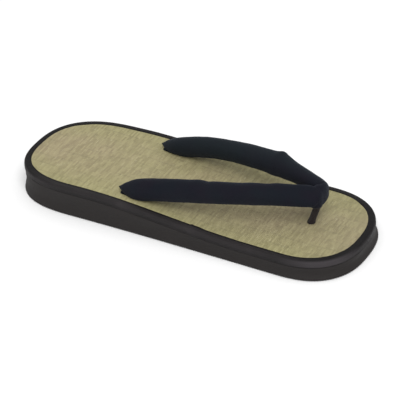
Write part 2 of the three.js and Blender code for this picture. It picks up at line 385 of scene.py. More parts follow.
def velvet_finish():
    finish = Finish(
        "strap_velvet", Specular_IOR_Level=0.1, Sheen_Weight=0.07, Sheen_Roughness=0.42,
        Sheen_Tint=(0.62, 0.72, 0.92))
    place = finish.place()
    broad = finish.noise(place, 26, 3, 0.55)
    hue = finish.noise(place, 60, 2)
    blue = finish.mix(
        finish.spread(hue, 0.35, 0.65), (0.0058, 0.0072, 0.0118), (0.0076, 0.0064, 0.0116))
    green = (0.0105, 0.0150, 0.0175)
    # Random greenish patches, and a painted highlight that makes the far arm lighter and greener
    side = finish.spread(finish.split(place)[1], 0.004, 0.02)
    tone = finish.spread(broad, 0.4, 0.72) * 0.45 + side * 0.6
    finish.set("Base Color", finish.mix(tone, blue, green))
    finish.roughen(broad, 0.78, 0.95)
    pile = finish.noise(place, 2300, 2, 0.7)
    nap = finish.noise(place, 240, 3)
    normal = finish.bump(nap, 0.3, 0.0005)
    finish.set("Normal", finish.bump(pile, 0.55, 0.00025, normal))
    return finish.material


def cord_finish():
    finish = Finish("post_cord", Specular_IOR_Level=0.2, Sheen_Weight=0.1, Sheen_Roughness=0.5)
    u, v = finish.split(finish.node("ShaderNodeUVMap", {"uv_map": "cord"}))[:2]
    twill = ((u * 14 + v / (0.95 * MM)) * (2 * math.pi)).math("SINE")
    broad = finish.noise(finish.place(), 220, 2)
    finish.set("Base Color", finish.ramp(
        broad, (0.3, (0.0125, 0.0092, 0.0098)), (0.7, (0.022, 0.0158, 0.0165))))
    finish.roughen(broad, 0.72, 0.9)
    finish.set("Normal", finish.bump(twill, 0.5, 0.00025))
    return finish.material


def thread_finish():
    finish = Finish("seam_thread", Specular_IOR_Level=0.3)
    tone = finish.noise(finish.place(), 900, 2)
    finish.set("Base Color", finish.ramp(
        tone, (0.3, (0.014, 0.015, 0.021)), (0.7, (0.030, 0.032, 0.042))))
    finish.roughen(tone, 0.55, 0.75)
    return finish.material


def smooth_share(share):
    share = np.clip(share, 0, 1)
    return share * share * (3 - 2 * share)


def top_at(x):
    share = (x - HEEL_END - SLOPE_FROM_HEEL) / (LENGTH - SLOPE_FROM_HEEL - SLOPE_FROM_TOE)
    return HEEL_HEIGHT + (TOE_HEIGHT - HEEL_HEIGHT) * smooth_share(share)


def mat_at(x):
    return top_at(x) - MAT_DROP


def rounded_end(distance, length, fullness):
    rest = np.clip(1 - distance / length, 0, 1)
    return np.clip(1 - rest ** fullness, 0, 1) ** (1 / fullness)


def half_width_at(x):
    share = (x - HEEL_END) / LENGTH
    straight = (HEEL_WIDTH + (TOE_WIDTH - HEEL_WIDTH) * share) / 2
    swell = WAIST_SWELL / 2 * 4 * share * (1 - share)
    heel = rounded_end(x - HEEL_END, HEEL_ROUND, HEEL_FULLNESS)
    toe = rounded_end(TOE_END - x, TOE_ROUND, TOE_FULLNESS)
    return (straight + swell) * heel * toe


def middle_at(x):
    place = 2 * x / LENGTH
    return BOW * (1 - place ** 2) - BOW_LEAD * (place - place ** 3)


def distances_along(line):
    return np.concatenate([[0], np.cumsum(np.linalg.norm(np.diff(line, axis=0), axis=1))])


def outward_of(loop):
    """Unit directions out of a counterclockwise loop of points, seen from above."""
    ahead = np.roll(loop, -1, 0) - np.roll(loop, 1, 0)
    outward = np.column_stack([ahead[:, 1], -ahead[:, 0]])
    return outward / np.linalg.norm(outward, axis=1)[:, None]


class Outline:
    """The bound edge as points in equal steps, counterclockwise from the heel."""

    def __init__(self, count):
        turn = np.linspace(0, np.pi, 4001)
        x = -TOE_END * np.cos(turn)
        right = np.column_stack([x, middle_at(x) - half_width_at(x)])
        left = np.column_stack([x, middle_at(x) + half_width_at(x)])[::-1]
        line = np.vstack([right, left[1:]])
        line[:, 1] -= (line[:, 1].max() + line[:, 1].min()) / 2
        travelled = distances_along(line)
        self.round = travelled[-1]
        self.at = self.round * np.arange(count) / count
        self.points = np.column_stack([np.interp(self.at, travelled, line[:, i]) for i in (0, 1)])
        self.outward = outward_of(self.points)

    def ring(self, inset, height_at):
        inset = np.broadcast_to(inset, len(self.points))
        flat = self.points - self.outward * inset[:, None]
        height = height_at(flat[:, 0]) if callable(height_at) else height_at
        return np.column_stack([flat, np.broadcast_to(height, len(flat))])


def ripple(across, along, seed):
    """Smooth noise between about -1 and 1 at each pair of values."""
    across, along = np.broadcast_arrays(across, along)
    values = [noise.noise(Vector((a, b, seed))) for a, b in zip(across.ravel(), along.ravel())]
    return np.array(values).reshape(across.shape) * 1.6


def round_ripple(outline, cells, height, seed):
    """Noise round the outline that closes on itself, with this many cells in the whole round."""
    turn = 2 * np.pi * outline.at / outline.round
    size = cells / (2 * np.pi)
    values = [
        noise.noise(Vector((math.cos(t) * size, math.sin(t) * size, seed + height))) for t in turn]
    return np.array(values) * 1.6


def band_faces(levels, count, closed=False, start=0):
    """Quads between rings of count points; closed joins the last ring to the first."""
    rows = np.arange(levels if closed else levels - 1)[:, None]
    columns = np.arange(count)[None, :]
    here, there = rows * count, (rows + 1) % levels * count
    following = (columns + 1) % count
    quads = np.stack([here + columns, here + following, there + following, there + columns], -1)
    return (quads.reshape(-1, 4) + start).tolist()


def cap_faces(count, start):
    """Strips across one ring, from each point to the one that faces it."""
    faces = []
    for i in range(count // 2):
        corners = [i, (count - i) % count, count - i - 1, i + 1]
        faces.append([start + c for c in dict.fromkeys(corners)])
    return faces


def add_object(name, data):
    added = bpy.data.objects.new(name, data)
    bpy.context.scene.collection.objects.link(added)
    return added


def make_piece(name, points, faces, material, uv=None):
    mesh = bpy.data.meshes.new(name)
    mesh.from_pydata((np.asarray(points) * MM).tolist(), [], faces)
    if uv is not None:
        layer = mesh.uv_layers.new(name=uv[0])
        corners = np.empty(len(mesh.loops), np.int32)
        mesh.loops.foreach_get("vertex_index", corners)
        layer.data.foreach_set("uv", uv[1](mesh, corners).astype(np.float32).ravel())
    turn_outward(mesh)
    mesh.polygons.foreach_set("use_smooth", np.ones(len(mesh.polygons), bool))
    mesh.materials.append(material)
    return add_object(name, mesh)


def turn_outward(mesh):
    shape = bmesh.new()
    shape.from_mesh(mesh)
    bmesh.ops.recalc_face_normals(shape, faces=shape.faces)
    shape.to_mesh(mesh)
    shape.free()


def sharpen(piece, degrees):
    """Faces that meet at more than this angle keep a crisp edge."""
    piece.data.set_sharp_from_angle(angle=math.radians(degrees))


def combine(piece, other, operation):
    """Joins other to piece, or cuts it out of it, and removes other."""
    change = piece.modifiers.new("combine", "BOOLEAN")
    change.operation = operation
    change.solver = "EXACT"
    change.object = other
    scene = bpy.context.evaluated_depsgraph_get()
    result = bpy.data.meshes.new_from_object(piece.evaluated_get(scene))
    piece.modifiers.clear()
    old = piece.data
    piece.data = result
    bpy.data.meshes.remove(old)
    bpy.data.objects.remove(other)


def settle(piece, slot, *nodes):
    """The finished piece rides with the sandal and stands for its CAD nodes."""
    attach(piece, "root")
    if nodes:
        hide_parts(*nodes)
    return piece


def post_line():
    foot = Vector((POST_X, 0, float(mat_at(POST_X))))
    nose = Vector((NOSE_X, 0, float(mat_at(NOSE_X)) + NOSE_RISE))
    return foot, nose, (nose + Vector((POST_SHIFT, 0, 0)) - foot).normalized()


def tab_bar(name, side, bottom, top, clearance, material):
    """Upright bar with rounded corners at a strap's slot."""
    half_length = TAB_LENGTH / 2 + clearance
    half_thickness = TAB_THICKNESS / 2 + clearance
    corner = TAB_CORNER + clearance
    ring = []
    for quarter, (sx, sy) in enumerate([(1, 1), (-1, 1), (-1, -1), (1, -1)]):
        for step in range(7):
            angle = math.pi / 2 * (quarter + step / 6)
            ring.append((
                ROOT_X + sx * (half_length - corner) + corner * math.cos(angle),
                side * ROOT_SPREAD + sy * (half_thickness - corner) + corner * math.sin(angle)))
    ring = np.array(ring)
    rings = [np.column_stack([ring, np.full(len(ring), z)]) for z in (bottom, top)]
    count = len(ring)
    faces = band_faces(2, count) + [list(range(count)), list(range(count, 2 * count))]
    return make_piece(name, np.vstack(rings), faces, material)


def round_bar(name, start, end, radii, sides, material, uv=None):
    """Closed round bar with a radius at each of several shares of the way."""
    axis = (end - start).normalized()
    across = axis.orthogonal().normalized()
    through = axis.cross(across)
    rings = []
    for share, radius in radii:
        centre = start.lerp(end, share)
        for j in range(sides):
            angle = 2 * math.pi * j / sides
            size = radius(angle) if callable(radius) else radius
            rings.append(centre + (across * math.cos(angle) + through * math.sin(angle)) * size)
    last = (len(radii) - 1) * sides
    faces = band_faces(len(radii), sides) + [list(range(sides)), list(range(last, last + sides))]
    return make_piece(name, [list(p) for p in rings], faces, material, uv)


def cut_seats(piece, material):
    """Slots for the straps' tabs and the hole for the post."""
    foot, _, axis = post_line()
    radius = POST_DIAMETER / 2 + GAP
    start, end = foot - axis * (POST_DEPTH + GAP), foot + axis * 6
    hole = round_bar("hole", start, end, [(0, radius), (1, radius)], 24, material)
    combine(piece, hole, "DIFFERENCE")
    deepest = float(mat_at(ROOT_X)) - TAB_DEPTH - GAP
    for side in (-1, 1):
        slot = tab_bar("slot", side, deepest, HEEL_HEIGHT + WALL_HEIGHT, GAP, material)
        combine(piece, slot, "DIFFERENCE")


def sole_inset(share):
    """How far the flank lies inside the bound edge, from the floor up to the shoulder."""
    shares = [0, 0.12, 0.25, 0.4, 0.5, 0.62, 0.8, 1]
    insets = [-SOLE_FLARE, -SOLE_FLARE * 0.6, 0, SOLE_WAIST * 0.82, SOLE_WAIST, SOLE_WAIST * 0.95,
              (SOLE_WAIST + SHOULDER_INSET) / 2, SHOULDER_INSET]
    return np.interp(share, shares, insets)


def build_sole(material):
    """Foam wedge: a recessed underside inside a rim, a toothed foot and a soft, uneven shoulder."""
    teeth = round(Outline(720).round / TOOTH_PITCH)
    outline = Outline(teeth * 4)
    tooth = TOOTH_DEPTH * (0.1 - 0.5 * np.cos(2 * np.pi * teeth * outline.at / outline.round))
    face_at = lambda x: top_at(x) - WALL_HEIGHT - WALL_GAP
    corner = smooth_share(2 * np.abs(outline.outward[:, 0] * outline.outward[:, 1])) * CORNER_FULLNESS
    uneven = round_ripple(outline, 46, 0, 3.1)
    slow = round_ripple(outline, 16, 0, 7.7)
    roundness = SHOULDER_ROUND * (1 + 0.28 * uneven + 0.15 * slow)
    shoulder_at = lambda x: face_at(x) - SHOULDER_ROUND
    inner = FOOT_EDGE - SOLE_FLARE + RIM_WIDTH + 0.3
    rings = [
        outline.ring(inner + 0.5, TREAD_DEPTH),
        outline.ring(inner + 0.15, TREAD_DEPTH),
        outline.ring(inner, TREAD_DEPTH * 0.85),
        outline.ring(inner - 0.1, 0.1),
        outline.ring(inner - 0.25, 0.0),
        outline.ring(FOOT_EDGE - SOLE_FLARE + 0.45 - corner, 0.0),
        outline.ring(FOOT_EDGE - SOLE_FLARE + tooth - corner, 0.05),
        outline.ring(FOOT_EDGE * 0.4 - SOLE_FLARE + tooth - corner, FOOT_EDGE * 0.45),
        outline.ring(-SOLE_FLARE + tooth * 0.8 - corner, FOOT_EDGE),
        outline.ring(-SOLE_FLARE + tooth * 0.4 - corner, FOOT_EDGE * 1.8),
    ]
    levels = 20
    for level in range(1, levels + 1):
        share = level / levels
        height = lambda x, share=share: FOOT_EDGE * 1.8 + (shoulder_at(x) - FOOT_EDGE * 1.8) * share
        dent = round_ripple(outline, 60, share * 2.1, 1.3) * 0.10
        dent = dent + round_ripple(outline, 22, share * 0.9, 5.3) * 0.16
        fade = math.sin(math.pi * min(1, 1.2 * share)) ** 0.5 if share < 0.83 else 1
        patch = max(0, 1 - abs(share - 0.86) / 0.16) * (0.16 * uneven)
        bulge = dent * fade + patch + corner * (1 - share) ** 1.5
        rings.append(outline.ring(sole_inset(share) - bulge, height))
    for step in range(1, 8):
        angle = math.pi / 2 * step / 7
        inset = SHOULDER_INSET + roundness * (1 - math.cos(angle)) - 0.1 * uneven * math.cos(angle)
        rise = SHOULDER_ROUND * math.sin(angle)
        rings.append(outline.ring(inset, lambda x, rise=rise: shoulder_at(x) + rise))
    rings.append(outline.ring(SHOULDER_INSET + SHOULDER_ROUND * 1.6 + 2, face_at))
    count = len(outline.points)
    faces = band_faces(len(rings), count)
    faces += cap_faces(count, 0) + cap_faces(count, (len(rings) - 1) * count)
    sole = make_piece("foam_sole", np.vstack(rings), faces, material)
    cut_seats(sole, material)
    return sole


def start_tree(name, **kinds):
    """A Geometry Nodes tree with inputs of these kinds and one output."""
    tree = bpy.data.node_groups.new(name, "GeometryNodeTree")
    for key, kind in kinds.items():
        tree.interface.new_socket(key, in_out="INPUT", socket_type="NodeSocket" + kind)
    tree.interface.new_socket("Geometry", in_out="OUTPUT", socket_type="NodeSocketGeometry")
    board, given = Board(tree), tree.nodes.new("NodeGroupInput")
    value = {s.name: Wire(board, s) for s in given.outputs if s.name}
    return board, value, tree.nodes.new("NodeGroupOutput")


def rib_tree():
    """Wavy ribs over the piece that the modifier is on, cut off at its outline."""
    board, value, out = start_tree(
        "tread_ribs", Geometry="Geometry", Count="Int", Pitch="Float", Reach="Float", Steps="Int",
        Wave="Float", Sway="Float", Angle="Float", Foot="Float", Crest="Float", Height="Float",
        Finish="Material")
    first = value["Pitch"] * (value["Count"] - 1) * -0.5
    line = board.node("GeometryNodeMeshLine", {"mode": "OFFSET"}, {
        "Count": value["Count"], "Start Location": board.join(0.0, first, 0.0),
        "Offset": board.join(0.0, value["Pitch"], 0.0)})
    half = value["Reach"] * 0.5
    rod = board.node("GeometryNodeCurvePrimitiveLine", {}, {
        "Start": board.join(half * -1, 0.0, 0.0), "End": board.join(half, 0.0, 0.0)})
    rod = board.node("GeometryNodeResampleCurve", {}, {"Curve": rod, "Count": value["Steps"]})
    rods = board.node("GeometryNodeInstanceOnPoints", {}, {"Points": line, "Instance": rod})
    rods = board.node("GeometryNodeRealizeInstances", {}, {0: rods})
    x = board.split(board.node("GeometryNodeInputPosition"))[0]
    sway = (x / value["Wave"] * (2 * math.pi)).math("SINE") * value["Sway"]
    rods = board.node("GeometryNodeSetPosition", {}, {
        "Geometry": rods, "Offset": board.join(0.0, sway, 0.0)})
    turned = board.node("GeometryNodeTransform", {}, {
        "Geometry": rods, "Rotation": board.join(0.0, 0.0, value["Angle"])})
    above = board.node("ShaderNodeVectorMath", {"operation": "ADD"}, {
        0: board.node("GeometryNodeInputPosition"), 1: (0.0, 0.0, 0.05)})
    hit = board.node("GeometryNodeRaycast", {}, {
        "Target Geometry": value["Geometry"], "Source Position": above,
        "Ray Direction": (0.0, 0.0, -1.0), "Ray Length": 1.0})
    outside = board.node("FunctionNodeBooleanMath", {"operation": "NOT"}, {0: hit})
    kept = board.node("GeometryNodeDeleteGeometry", {"domain": "POINT"}, {
        0: turned, "Selection": outside})
    upright = board.node("GeometryNodeSetCurveNormal", {"mode": "Z_UP"}, {"Curve": kept})
    profile = board.node("GeometryNodeCurvePrimitiveQuadrilateral", {"mode": "TRAPEZOID"}, {
        "Height": value["Height"], "Bottom Width": value["Foot"], "Top Width": value["Crest"],
        "Offset": 0.0})
    ribs = board.node("GeometryNodeCurveToMesh", {}, {
        "Curve": upright, "Profile Curve": profile, "Fill Caps": True})
    ribs = board.node("GeometryNodeRealizeInstances", {}, {0: ribs})
    ribs = board.node("GeometryNodeSetMaterial", {}, {"Geometry": ribs, "Material": value["Finish"]})
    board.plug(out.inputs[0], ribs)
    return board.tree


def stitch_tree():
    """Stitches at equal steps along the lines of the mesh that the modifier is on."""
    board, value, out = start_tree(
        "seam_stitches", Geometry="Geometry", Pitch="Float", Length="Float", Thickness="Float",
        Finish="Material")
    seam = board.node("GeometryNodeMeshToCurve", {}, {"Mesh": value["Geometry"]})
    seam = board.node("GeometryNodeResampleCurve", {"mode": "LENGTH"}, {
        "Curve": seam, "Length": value["Pitch"]})
    bead = board.node("GeometryNodeMeshIcoSphere", {}, {"Radius": 0.5, "Subdivisions": 2})
    turn = board.node("FunctionNodeAlignRotationToVector", {"axis": "X"}, {
        "Vector": board.node("GeometryNodeInputTangent")})
    beads = board.node("GeometryNodeInstanceOnPoints", {}, {
        "Points": seam, "Instance": bead, "Rotation": turn,
        "Scale": board.join(value["Length"], value["Thickness"], value["Thickness"])})
    beads = board.node("GeometryNodeRealizeInstances", {}, {0: beads})
    beads = board.node("GeometryNodeSetMaterial", {}, {"Geometry": beads, "Material": value["Finish"]})
    board.plug(out.inputs[0], beads)
    return board.tree


def grow(name, base, tree, **values):
    """Runs a Geometry Nodes tree on base, and returns its result as a plain mesh."""
    change = base.modifiers.new("grow", "NODES")
    change.node_group = tree
    for item in tree.interface.items_tree:
        if item.in_out == "INPUT" and item.name in values:
            change[item.identifier] = values[item.name]
    scene = bpy.context.evaluated_depsgraph_get()
    mesh = bpy.data.meshes.new_from_object(base.evaluated_get(scene))
    base.modifiers.clear()
    bpy.data.objects.remove(base)
    mesh.name = name
    return add_object(name, mesh)


def build_tread(material):
    """Wavy ribs that stand between the recessed underside and the floor."""
    outline = Outline(240)
    inset = FOOT_EDGE - SOLE_FLARE + RIM_WIDTH + 1.4
    flat = outline.ring(inset, TREAD_DEPTH / 2 + 0.1)
    base = make_piece("tread_base", flat, [list(range(len(flat)))], material)
    tread = grow(
        "sole_tread", base, rib_tree(), Count=int(RIB_REACH / RIB_PITCH), Pitch=RIB_PITCH * MM,
        Reach=RIB_REACH * MM, Steps=int(RIB_REACH / RIB_STEP), Wave=RIB_WAVE * MM, Sway=RIB_SWAY * MM,
        Angle=math.radians(RIB_ANGLE), Foot=RIB_FOOT * MM, Crest=RIB_CREST * MM,
        Height=(TREAD_DEPTH + 0.2) * MM, Finish=material)
    points = np.empty(len(tread.data.vertices) * 3, np.float32)
    tread.data.vertices.foreach_get("co", points)
    points = points.reshape(-1, 3)
    points[:, 2] = -points[:, 2] + points[:, 2].max()
    tread.data.vertices.foreach_set("co", points.ravel())
    turn_outward(tread.data)
    return tread


def build_insole(material):
    """Rush mat on its board: stems across the width over lengthwise warp lines."""
    outline = Outline(1440)
    under_band = BAND_WIDTH - MAT_TUCK
    edge = outline.ring(under_band, 0.0)[:, :2]
    half = len(edge) // 2
    right, left = edge[:half + 1], np.vstack([edge[half:], edge[:1]])[::-1]
    low, high = edge[:, 0].min(), edge[:, 0].max()
    columns = int((high - low) / (STEM_PITCH / COLUMNS_PER_STEM)) + 1
    rows = MAT_ROWS
    x = np.linspace(low, high, columns)
    x[1:4] = low + np.array([0.02, 0.08, 0.2]) * (x[4] - low)
    x[-4:-1] = high - np.array([0.2, 0.08, 0.02]) * (high - x[-5])
    bottom = np.interp(x, right[:, 0], right[:, 1])
    top = np.interp(x, left[:, 0], left[:, 1])
    share = np.linspace(0, 1, rows)
    grid_x = np.repeat(x[:, None], rows, 1)
    grid_y = bottom[:, None] + (top - bottom)[:, None] * share[None, :]
    sway = ripple(grid_x / 60, grid_y / 26, 4.4) * 0.5
    stems = (grid_x + sway) / STEM_PITCH
    stem = np.floor(stems)
    part = stems - stem
    crown = 1 - np.abs(2 * part - 1) ** 2.2
    wander = ripple(grid_x / 34, grid_y / 80, 9.2) * 1.5
    warp = (grid_y + wander) / WARP_PITCH
    weave = np.cos(np.pi * warp + np.pi * stem)
    groove = np.exp(-((warp - np.floor(warp) - 0.5) * WARP_PITCH / 0.9) ** 2)
    loose = ripple(stem * 0.73, grid_y / 11, 2.6)
    relief = -STEM_RELIEF * (1 - crown) - WARP_RELIEF * groove + 0.05 * weave * crown + 0.05 * loose
    swell = ripple(grid_x / 42, grid_y / 30, 6.1) * 0.06
    # Below the band's lip the mat is flat and dips under the tape
    rim_points = kdtree.KDTree(len(edge))
    for i, (a, b) in enumerate(edge):
        rim_points.insert((a, b, 0), i)
    rim_points.balance()
    inside = [rim_points.find((a, b, 0))[2] for a, b in zip(grid_x.ravel(), grid_y.ravel())]
    inside = np.array(inside).reshape(grid_x.shape)
    relief *= smooth_share((inside - 0.8) / 1.6)
    tuck = smooth_share(1 - (inside - 0.35) / 0.75) * 1.1
    height = mat_at(grid_x) + MAT_CROWN + relief + swell - tuck
    points = np.stack([grid_x, grid_y, height], -1).reshape(-1, 3)
    index = np.arange(columns * rows).reshape(columns, rows)
    quads = np.stack([index[:-1, :-1], index[1:, :-1], index[1:, 1:], index[:-1, 1:]], -1)
    faces = quads[1:-1].reshape(-1, 4).tolist()
    # The two end columns shrink to points, so they close as fans
    for column, near in ((0, 1), (columns - 1, columns - 2)):
        tip = index[column, rows // 2]
        faces += [[int(tip), int(index[near, j]), int(index[near, j + 1])] for j in range(rows - 1)]
    rim = [int(index[0, rows // 2])] + [int(index[i, 0]) for i in range(1, columns - 1)]
    rim += [int(index[-1, rows // 2])] + [int(index[i, -1]) for i in range(columns - 2, 0, -1)]
    loop = points[rim]
    outward = outward_of(loop)
    edge_inset = TAPE + GAP
    core_inset = LAP_WIDTH + GAP
    rings = []
    for inset, drop in ((edge_inset, edge_inset), (edge_inset, WALL_HEIGHT - edge_inset),
                        (core_inset, WALL_HEIGHT - edge_inset), (core_inset, WALL_HEIGHT)):
        flat = loop[:, :2] + outward * (under_band - inset)
        rings.append(np.column_stack([flat, top_at(flat[:, 0]) - drop]))
    start, count = len(points), len(rim)
    points = np.vstack([points, *rings])
    faces += [[rim[i], rim[(i + 1) % count], start + (i + 1) % count, start + i] for i in range(count)]
    faces += band_faces(len(rings), count, start=start)
    faces += cap_faces(count, start + (len(rings) - 1) * count)
    insole = make_piece("rush_insole", points, faces, material)
    drop_loose(insole.data)
    cut_seats(insole, material)
    return insole


def drop_loose(mesh):
    shape = bmesh.new()
    shape.from_mesh(mesh)
    loose = [v for v in shape.verts if not v.link_faces]
    bmesh.ops.delete(shape, geom=loose, context="VERTS")
    shape.to_mesh(mesh)
    shape.free()


def build_binding(material):
    """Tape folded round the insole's edge, with its end lapped over its start."""
    outline = Outline(900)
    count = len(outline.points)
    pucker = round_ripple(outline, 150, 0, 2.2)
    slow = round_ripple(outline, 34, 0, 8.8)
    ends = smooth_share((np.abs(outline.points[:, 0]) - 70) / 45)
    near = outline.points[:, 1] < 0
    lap = smooth_share((outline.points[:, 0] - JOIN_X) / JOIN_EDGE)
    lap = lap * smooth_share((JOIN_X + JOIN_LENGTH - outline.points[:, 0]) / 6) * near * JOIN_STEP
    tick = JOIN_TICK * np.exp(-((outline.points[:, 0] - JOIN_X) / JOIN_EDGE) ** 2) * near
    band = BAND_WIDTH + BAND_SPREAD * smooth_share(-outline.outward[:, 1])
    band += TOE_SPREAD * smooth_share(outline.outward[:, 0]) + PUCKER * pucker + 0.12 * slow + tick
    wall = WALL_HEIGHT - 0.1 + 0.1 * pucker * (0.3 + ends) + 0.1 * slow
    crown = 0.10 + PUCKER * pucker * ends
    fold, lower = FOLD_ROUND, LOWER_FOLD_ROUND
    # From the inner lip on the mat, out over the band, down the wall and back under the insole
    section = [(band + 0.05, 0.62), (band + 0.03, 0.34), (band - 0.2, 0.12 - lap)]
    for share in (0.12, 0.3, 0.5, 0.7, 0.88):
        drop = 0.05 - crown * math.sin(math.pi * share) - lap + 0.04 * ends * pucker
        section.append((band * (1 - share) + fold * share, drop))
    for step in range(7):
        angle = math.pi / 2 * step / 6
        out, up = math.sin(angle), math.cos(angle)
        section.append((fold - fold * out - lap * out, fold - fold * up - lap * up))
    for share in (0.2, 0.4, 0.6, 0.8):
        bulge = (0.05 + 0.06 * slow) * math.sin(math.pi * share)
        section.append((-bulge - lap, fold + (wall - fold - lower) * share))
    for step in range(5):
        angle = math.pi / 2 * step / 4
        inset = lower - (lower + lap) * math.cos(angle)
        section.append((inset, wall - lower + lower * math.sin(angle)))
    section += [
        (LAP_WIDTH, wall), (LAP_WIDTH, WALL_HEIGHT - TAPE), (TAPE, WALL_HEIGHT - TAPE), (TAPE, TAPE),
        (band - 0.1, TAPE)]
    rings = []
    for inset, drop in section:
        drop = np.minimum(drop, WALL_HEIGHT)
        flat = outline.ring(inset, 0.0)[:, :2]
        rings.append(np.column_stack([flat, top_at(flat[:, 0]) - drop]))
    levels = len(rings)
    points = np.vstack(rings)
    travelled = np.concatenate([[0], np.cumsum([
        np.linalg.norm(rings[i + 1] - rings[i], axis=1).mean() for i in range(levels - 1)])])

    def tape_uv(mesh, corners):
        level, step = corners // count, corners % count
        u, v = outline.at[step], travelled[level]
        first = np.repeat(np.arange(len(mesh.polygons)) * 4, 4)
        turn_back = (u < outline.round / 4) & (u[first] > outline.round / 2)
        turn_ahead = (u > outline.round / 2) & (u[first] < outline.round / 4)
        u = u + outline.round * turn_back - outline.round * turn_ahead
        return np.column_stack([u, v]) * MM

    faces = band_faces(levels, count, closed=True)
    return make_piece("tape_binding", points, faces, material, ("tape", tape_uv))


def spline(points, share, power):
    """A point of the curve through points: power 0.5 spaces it by distance, 0 evenly."""
    last = len(points) - 1
    at = min(int(share * last), last - 1)
    part = share * last - at
    here, there = points[at], points[at + 1]
    before = points[at - 1] if at > 0 else 2 * here - there
    after = points[at + 2] if at + 2 <= last else 2 * there - here
    step = max(1e-4, np.linalg.norm(there - here)) ** power
    last_step = max(1e-4, np.linalg.norm(here - before)) ** power
    next_step = max(1e-4, np.linalg.norm(after - there)) ** power
    leaving = ((here - before) / last_step - (there - before) / (last_step + step)
               + (there - here) / step) * step
    arriving = ((there - here) / step - (after - here) / (step + next_step)
                + (after - there) / next_step) * step
    return (here + leaving * part + (-3 * here + 3 * there - 2 * leaving - arriving) * part ** 2
            + (2 * here - 2 * there + leaving + arriving) * part ** 3)


# Small folds of the velvet: side, place along the arm, angle round it, how far they reach along
# and round, depth in millimetres
FOLDS = [
    (-1, 0.405, 15, 4.0, 50, 0.5),
    (-1, 0.462, 15, 2.5, 50, -0.5),
    (-1, 0.985, 60, 1.4, 70, -0.7),
    (-1, 0.82, 15, 4.0, 45, 0.5),
    (1, 0.70, 75, 2.0, 40, 0.75),
    (1, 0.73, 250, 2.4, 60, -0.3),
    (1, 0.66, 60, 3.0, 50, -0.3),
    (1, 0.80, 120, 3.0, 60, -0.25),
    (1, 0.16, 100, 12.0, 80, 0.55),
    (-1, 0.05, 90, 4.0, 60, 0.3),
]
SEAM_ANGLE = 262
SEAM_DEPTH = 0.55
ARM_SIDES = 56
ARM_STEPS = 12


def angles_from(angle, angles):
    """Degrees from one angle to each of several in radians, the short way round."""
    return (np.degrees(angles) - angle + 180) % 360 - 180


def girth_noise(place, size, shift, angles):
    """Noise at each angle round an arm, at one place along it."""
    return np.array([
        noise.noise(Vector((place, math.cos(a) * size, math.sin(a) * size + shift))) for a in angles])


def arm_rings(side):
    """Rings of one padded arm, with folds and a seam groove, and the line of the seam."""
    rows = np.array(ARM_ROWS, float)
    x = ROOT_X + (NOSE_X - ROOT_X) * rows[:, 0]
    centres = np.column_stack([x, side * rows[:, 1] * ROOT_SPREAD, mat_at(x) + rows[:, 2] * NOSE_RISE])
    shapes = rows[:, 3:6]
    centres[:, 2] += STRAP_LIFT
    count = (len(rows) - 1) * ARM_STEPS
    path = np.array([spline(centres, i / count, 0.5) for i in range(count + 1)])
    sizes = np.array([spline(shapes, i / count, 0.0) for i in range(count + 1)])
    ahead = np.gradient(path, axis=0)
    ahead /= np.linalg.norm(ahead, axis=1)[:, None]
    travelled = distances_along(path)
    along = (path[:, 0] - ROOT_X) / (NOSE_X - ROOT_X)
    angles = 2 * np.pi * np.arange(ARM_SIDES) / ARM_SIDES
    rings, seam = [], []
    for i in range(count + 1):
        out = np.array([0, side, 0.0])
        out = out - ahead[i] * out.dot(ahead[i])
        out /= np.linalg.norm(out)
        up = np.cross(ahead[i], out)
        up *= np.sign(up[2]) / np.linalg.norm(up)
        lean = math.radians(sizes[i, 2])
        wide = up * math.sin(lean) - out * math.cos(lean)
        thick = out * math.sin(lean) + up * math.cos(lean)
        swell = np.zeros(ARM_SIDES)
        for fold_side, place, angle, reach, spread, depth in FOLDS:
            if fold_side == side:
                away = (along[i] - place) * (NOSE_X - ROOT_X) / reach
                swell += depth * np.exp(-away ** 2 - (angles_from(angle, angles) / spread) ** 2)
        soft = girth_noise(travelled[i] / 16, 1.1, 5 * side, angles)
        fine = girth_noise(travelled[i] / 5, 2.2, -7 * side, angles)
        body = min(1, sizes[i, 0])
        swell += (soft * 0.2 + fine * 0.12) * body
        swell -= SEAM_DEPTH * body * np.exp(-(angles_from(SEAM_ANGLE, angles) / 6) ** 2)
        swell += STRAP_PUFF * body
        a = STRAP_WIDTH / 2 * sizes[i, 0] + swell
        b = STRAP_THICKNESS / 2 * sizes[i, 1] + swell
        ring = path[i] + np.outer(a * np.cos(angles), wide) + np.outer(b * np.sin(angles), thick)
        floor = mat_at(ring[:, 0]) + MAT_CROWN + MAT_CLEARANCE
        ring[:, 2] = np.where(ring[:, 2] < floor, floor, ring[:, 2])
        rings.append(ring)
        at = round(SEAM_ANGLE / 360 * ARM_SIDES)
        seam.append(ring[at] + (ring[at] - path[i]) / np.linalg.norm(ring[at] - path[i]) * 0.12)
    return rings, np.array(seam), along


def build_arm(name, side, material):
    rings, seam, along = arm_rings(side)
    last = (len(rings) - 1) * ARM_SIDES
    faces = band_faces(len(rings), ARM_SIDES)
    faces += [list(range(ARM_SIDES)), list(range(last, last + ARM_SIDES))]
    arm = make_piece(name, np.vstack(rings), faces, material)
    return arm, seam[(along > 0.12) & (along < 0.86)]


def squared(value, power):
    """Sine or cosine of a boxier ellipse, the boxier the smaller the power."""
    return math.copysign(abs(value) ** power, value)


